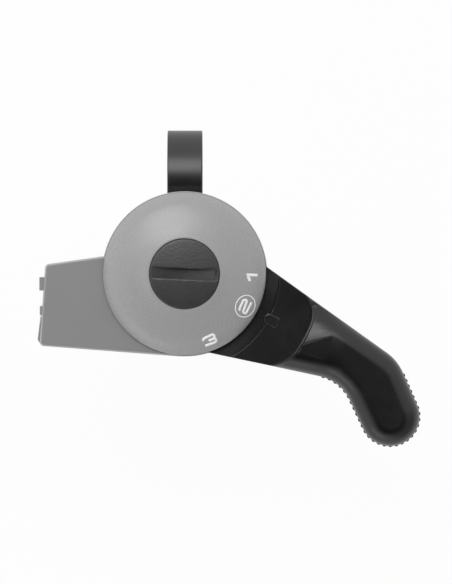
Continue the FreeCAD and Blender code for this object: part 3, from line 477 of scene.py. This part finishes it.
def cut_arm(work):
    """Cuts the upper side of the lever's arm into small triangles."""
    touched = {edge for face in upper_faces(work) for edge in face.edges}
    slivers = [edge for edge in work.edges if edge in touched]
    bmesh.ops.dissolve_degenerate(work, dist=BLEND_SLIVER, edges=slivers)
    for _ in range(BLEND_CUTS):
        bmesh.ops.triangulate(work, faces=[face for face in upper_faces(work) if len(face.verts) > 3])
        upper = set(upper_faces(work))
        long = [edge for edge in work.edges if edge.calc_length() > BLEND_SPACING
                and len(edge.link_faces) == 2 and all(face in upper for face in edge.link_faces)]
        bmesh.ops.subdivide_edges(work, edges=long, cuts=1)
        work.normal_update()
    bmesh.ops.triangulate(work, faces=[face for face in upper_faces(work) if len(face.verts) > 3])


def eased(vertex):
    """A point's next place: along its normal towards its neighbours' mean, and less so near the bend."""
    near = [edge.other_vert(vertex).co for edge in vertex.link_edges]
    shift = sum(near, Vector()) / len(near) - vertex.co
    to_end = BLEND_REACH[1] - reach(vertex.co)
    share = BLEND_STEP * max(0.0, min(1.0, to_end / BLEND_FADE))
    return vertex.co + vertex.normal * shift.dot(vertex.normal) * share


def blend_arm(work):
    """Melts the creases on the upper side of the lever's arm into one soft surface. Its border stays."""
    cut_arm(work)
    upper = set(upper_faces(work))
    free = [vertex for vertex in work.verts
            if vertex.link_faces and all(face in upper for face in vertex.link_faces)]
    for _ in range(BLEND_ROUNDS):
        work.normal_update()
        places = [eased(vertex) for vertex in free]
        for vertex, place in zip(free, places):
            vertex.co = place


def finer_mesh(name):
    """A CAD piece's mesh with its flat faces joined, the edges to break marked, and the lever's arm blended."""
    work = bmesh.new()
    work.from_mesh(frame["nodes"][name].data)
    bmesh.ops.remove_doubles(work, verts=work.verts, dist=MERGE_DISTANCE)
    bmesh.ops.dissolve_limit(work, angle_limit=FLAT_ANGLE, verts=work.verts, edges=work.edges)
    if name == "lever":
        blend_arm(work)
    weight = work.edges.layers.float.new("bevel_weight_edge")
    for edge in work.edges:
        edge[weight] = float(is_broken(edge, name))
    for face in work.faces:
        face.smooth = True
    mesh = bpy.data.meshes.new(name + "_finished")
    work.to_mesh(mesh)
    work.free()
    return mesh


def refined(name, width, highlight_finish):
    """A copy of a CAD piece with its outside corners broken by a small rounding. Where a highlight finish is
    given, that lighter finish is painted on the broken corners and on tilted faces as a painted highlight."""
    mesh = finer_mesh(name)
    mesh.materials.append(frame["nodes"][name].data.materials[0])
    # painted highlight: faces tilted within the range take the lighter grey
    if highlight_finish:
        mesh.materials.append(highlight_finish)
        for face in mesh.polygons:
            face.material_index = int(HIGHLIGHT_TILT[0] < face.normal.z < HIGHLIGHT_TILT[1])
    mesh.set_sharp_from_angle(angle=EDGE_ANGLE)
    piece = linked(name + "_finished", mesh)
    bevel = piece.modifiers.new("broken_edges", "BEVEL")
    bevel.width = width
    bevel.segments = EDGE_STEPS
    bevel.profile = EDGE_PROFILE
    # painted highlight: the rounded corners take the lighter grey as well
    bevel.material = 1 if highlight_finish else -1
    bevel.limit_method = "WEIGHT"
    bevel.use_clamp_overlap = False
    piece.modifiers.new("even_shading", "WEIGHTED_NORMAL").keep_sharp = True
    evaluated = piece.evaluated_get(bpy.context.evaluated_depsgraph_get())
    piece.data = bpy.data.meshes.new_from_object(evaluated)
    piece.modifiers.clear()
    body = next(body for body, nodes in frame["record"]["behaviour"]["bodies"].items() if name in nodes)
    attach(piece, body)
    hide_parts(name)


def refine_nodes(finishes):
    """Breaks the corners of every piece that shows from outside. The grey mouldings get a painted highlight there,
    a lighter grey on those corners and on their tilted faces.
    """
    for name, width in EDGE_BREAKS.items():
        refined(name, width, finishes["grey_painted_highlight"] if name in HIGHLIGHT_PIECES else None)


def lip_tree():
    """Rolls a round lip along a path, as thick at each point as the path's share says."""
    tree, sizes, outputs = node_tree("rolled_lip", "Radius", "Spacing")
    curve = add(tree, "GeometryNodeMeshToCurve", {"Mesh": sizes["Geometry"]})
    smooth = add(tree, "GeometryNodeCurveSplineType", {"Curve": curve.outputs["Curve"]},
                 spline_type="CATMULL_ROM")
    even = add(tree, "GeometryNodeResampleCurve", {"Curve": smooth.outputs["Curve"],
                                                   "Length": sizes["Spacing"]}, mode="LENGTH")
    share = add(tree, "GeometryNodeInputNamedAttribute", {"Name": "share"}, data_type="FLOAT")
    section = add(tree, "GeometryNodeCurvePrimitiveCircle", {"Resolution": LIP_SIDES,
                                                             "Radius": sizes["Radius"]})
    lip = add(tree, "GeometryNodeCurveToMesh", {
        "Curve": even.outputs["Curve"], "Profile Curve": section.outputs["Curve"],
        "Scale": share.outputs["Attribute"], "Fill Caps": True})
    close_tree(tree, sizes, outputs, lip.outputs["Mesh"])
    return tree


def rim_leans(work):
    """The points of the recess wall's upper edge, each with the summed normals of the faces there."""
    leans = {}
    for edge in work.edges:
        middle = edge_middle(edge)
        if middle.z < ROOT_LEVEL or reach(middle) < ROOT_REACH or not is_corner(edge):
            continue
        inward = (PIVOT - middle).to_2d()
        if any(abs(face.normal.z) < WALL_TILT and face.normal.to_2d().dot(inward) > 0
               for face in edge.link_faces):
            for vertex in edge.verts:
                leans.setdefault(vertex, Vector())
                leans[vertex] += edge.link_faces[0].normal + edge.link_faces[1].normal
    return leans


def recess_rim():
    """The upper edge of the recess's wall as a path, sunk a little into the arm and with thin ends."""
    work = bmesh.new()
    work.from_mesh(frame["nodes"]["lever"].data)
    bmesh.ops.remove_doubles(work, verts=work.verts, dist=MERGE_DISTANCE)
    leans = rim_leans(work)
    rim = sorted(leans, key=lambda vertex: math.atan2(vertex.co.y - PIVOT.y, vertex.co.x - PIVOT.x))
    run = [0.0]
    for near, far in zip(rim, rim[1:]):
        run.append(run[-1] + (far.co - near.co).length)
    shares = [max(LIP_END, min(1.0, min(step, run[-1] - step) / LIP_TAPER)) for step in run]
    points = [vertex.co - leans[vertex].normalized() * LIP_SINK * LIP_RADIUS * share
              for vertex, share in zip(rim, shares)]
    work.free()
    mesh = bpy.data.meshes.new("recess_rim")
    mesh.from_pydata(points, [(i, i + 1) for i in range(len(points) - 1)], [])
    mesh.attributes.new("share", "FLOAT", "POINT").data.foreach_set("value", shares)
    return mesh


def roll_lip(finishes):
    """The rounded lip round the recess at the foot of the lever's arm."""
    values = {"Radius": LIP_RADIUS, "Spacing": LIP_SPACING, "Material": finishes["black_moulding"]}
    piece = grown("recess_lip", recess_rim(), lip_tree(), values)
    outward(piece.data)
    piece.data.shade_smooth()
    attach(piece, "lever")


def thread_tree():
    """Winds a narrow ridge round a shank."""
    tree, sizes, outputs = node_tree("screw_thread", "Radius", "Length", "Turns", "Ridge")
    helix = add(tree, "GeometryNodeCurveSpiral", {
        "Resolution": THREAD_STEPS, "Rotations": sizes["Turns"], "Start Radius": sizes["Radius"],
        "End Radius": sizes["Radius"], "Height": sizes["Length"]})
    level = add(tree, "GeometryNodeSetCurveNormal", {"Curve": helix.outputs["Curve"]}, mode="Z_UP")
    section = add(tree, "GeometryNodeCurvePrimitiveCircle", {"Resolution": THREAD_SIDES,
                                                             "Radius": sizes["Ridge"]})
    ridge = add(tree, "GeometryNodeCurveToMesh", {
        "Curve": level.outputs["Curve"], "Profile Curve": section.outputs["Curve"], "Fill Caps": True})
    close_tree(tree, sizes, outputs, ridge.outputs["Mesh"])
    return tree


def cut_thread(finishes):
    """The clamp bolt's thread, seen between the strap's two ears."""
    length = NUT_LOW.z - WASHER_HIGH.z - THREAD_PITCH
    values = {"Radius": THREAD_RADIUS, "Length": length, "Turns": length / THREAD_PITCH,
              "Ridge": THREAD_DEPTH, "Material": finishes["black_steel"]}
    piece = grown("clamp_bolt_thread", path_mesh("thread", [[(0, 0), (MM, 0)]]), thread_tree(), values)
    axis = (BOLT_LOW + BOLT_HIGH) / 2
    piece.data.transform(Matrix.Translation((axis.x, axis.y, WASHER_HIGH.z + THREAD_PITCH / 2)))
    outward(piece.data)
    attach(piece, "housing")


def paper():
    """White studio paper: mostly plain white to the eye and in mirrored views, and paper to the light."""
    material, tree, output, _ = new_material("white_studio_paper")
    rays = add(tree, "ShaderNodeLightPath").outputs
    seen = add(tree, "ShaderNodeMath", {0: rays["Is Camera Ray"], 1: rays["Is Glossy Ray"]},
               operation="MAXIMUM")
    through = add(tree, "ShaderNodeMath", {0: seen.outputs[0], 1: rays["Is Transmission Ray"]},
                  operation="MAXIMUM")
    share = add(tree, "ShaderNodeMath", {0: through.outputs[0], 1: FLOOR_WHITE}, operation="MULTIPLY")
    sheet = add(tree, "ShaderNodeBsdfDiffuse", {"Color": linear("#F4F4F4")})
    white = add(tree, "ShaderNodeEmission", {"Color": WHITE, "Strength": 1.0})
    mixed = add(tree, "ShaderNodeMixShader", {0: share.outputs[0], 1: sheet.outputs[0], 2: white.outputs[0]})
    tree.links.new(mixed.outputs[0], output.inputs["Surface"])
    return material


def make_floor():
    """A wide pale floor well below the clamped part, with the part's soft shadow."""
    level = cad_box[0].z - FLOOR_DROP
    corners = [(x * FLOOR_HALF, y * FLOOR_HALF, level) for x, y in ((-1, -1), (1, -1), (1, 1), (-1, 1))]
    mesh = bpy.data.meshes.new("studio_floor")
    mesh.from_pydata(corners, [], [(0, 1, 2, 3)])
    mesh.materials.append(paper())
    floor = linked("studio_floor", mesh)


def nearness(tree, place, axis):
    """Cosine of the angle between a direction and an axis."""
    return add(tree, "ShaderNodeVectorMath", {0: place, 1: axis}, operation="DOT_PRODUCT").outputs["Value"]


def make_world():
    """White to the camera. As light it is a pale tent with a dark hole overhead, where the camera stands,
    and the soft glow of a lamp behind the cloth."""
    world = bpy.data.worlds.new("studio_tent")
    bpy.context.scene.world = world
    world.use_nodes = True
    tree = world.node_tree
    tree.nodes.clear()
    output = add(tree, "ShaderNodeOutputWorld")
    rays = add(tree, "ShaderNodeLightPath").outputs
    place = add(tree, "ShaderNodeTexCoord").outputs["Generated"]
    tent = add(tree, "ShaderNodeValToRGB", {"Fac": nearness(tree, place, DARK_AXIS)})
    ramp = tent.color_ramp
    while len(ramp.elements) < len(TENT_LEVELS):
        ramp.elements.new(0.5)
    for stop, (at, level) in zip(ramp.elements, TENT_LEVELS):
        stop.position = at
        stop.color = (level, level, level, 1)
    gap = spread(tree, nearness(tree, place, GAP_AXIS), GAP_REACH, TENT_STRENGTH, TENT_STRENGTH * GAP_LEVEL)
    glow = spread(tree, nearness(tree, place, GLOW_AXIS), GLOW_REACH, 0.0, GLOW_STRENGTH,
                  interpolation_type="SMOOTHSTEP")
    cloth = add(tree, "ShaderNodeBackground", {"Color": tent.outputs["Color"], "Strength": gap})
    lamp = add(tree, "ShaderNodeBackground", {"Color": WHITE, "Strength": glow})
    light = add(tree, "ShaderNodeAddShader", {0: cloth.outputs[0], 1: lamp.outputs[0]})
    white = add(tree, "ShaderNodeBackground", {"Color": WHITE, "Strength": 1.0})
    mixed = add(tree, "ShaderNodeMixShader", {0: rays["Is Camera Ray"], 1: light.outputs[0],
                                              2: white.outputs[0]})
    tree.links.new(mixed.outputs[0], output.inputs["Surface"])


def make_lights():
    """Soft rectangular lamps that look at the dial."""
    for name, (place, size, watts) in LAMPS.items():
        lamp = bpy.data.lights.new(name, "AREA")
        lamp.shape = "RECTANGLE"
        lamp.size, lamp.size_y = size
        lamp.energy = watts
        holder = linked(name, lamp)
        holder.location = place
        holder.rotation_euler = (PIVOT - Vector(place)).to_track_quat("-Z", "Y").to_euler()
        holder.visible_camera = False


def make_camera():
    """Looks straight down on the dial, framed as the photograph is."""
    data = bpy.data.cameras.new("camera")
    data.sensor_width = SENSOR
    across, tall = FRAME_PIXELS
    view_height = tall / PIXELS_PER_METRE
    data.lens = SENSOR * CAMERA_DISTANCE / view_height
    data.clip_start, data.clip_end = CAMERA_CLIP
    middle_x = PIVOT.x + (across / 2 - DIAL_PIXEL[0]) / PIXELS_PER_METRE
    middle_y = PIVOT.y - (tall / 2 - DIAL_PIXEL[1]) / PIXELS_PER_METRE
    camera = linked("camera", data)
    camera.location = (middle_x, middle_y, DIAL_LOW.z + CAMERA_DISTANCE)
    bpy.context.scene.camera = camera


bpy.context.scene.view_settings.view_transform = "Standard"
finishes = make_finishes()
dress_nodes(finishes)
print_numbers(finishes)
refine_nodes(finishes)
roll_lip(finishes)
cut_thread(finishes)
make_floor()
make_world()
make_lights()
make_camera()
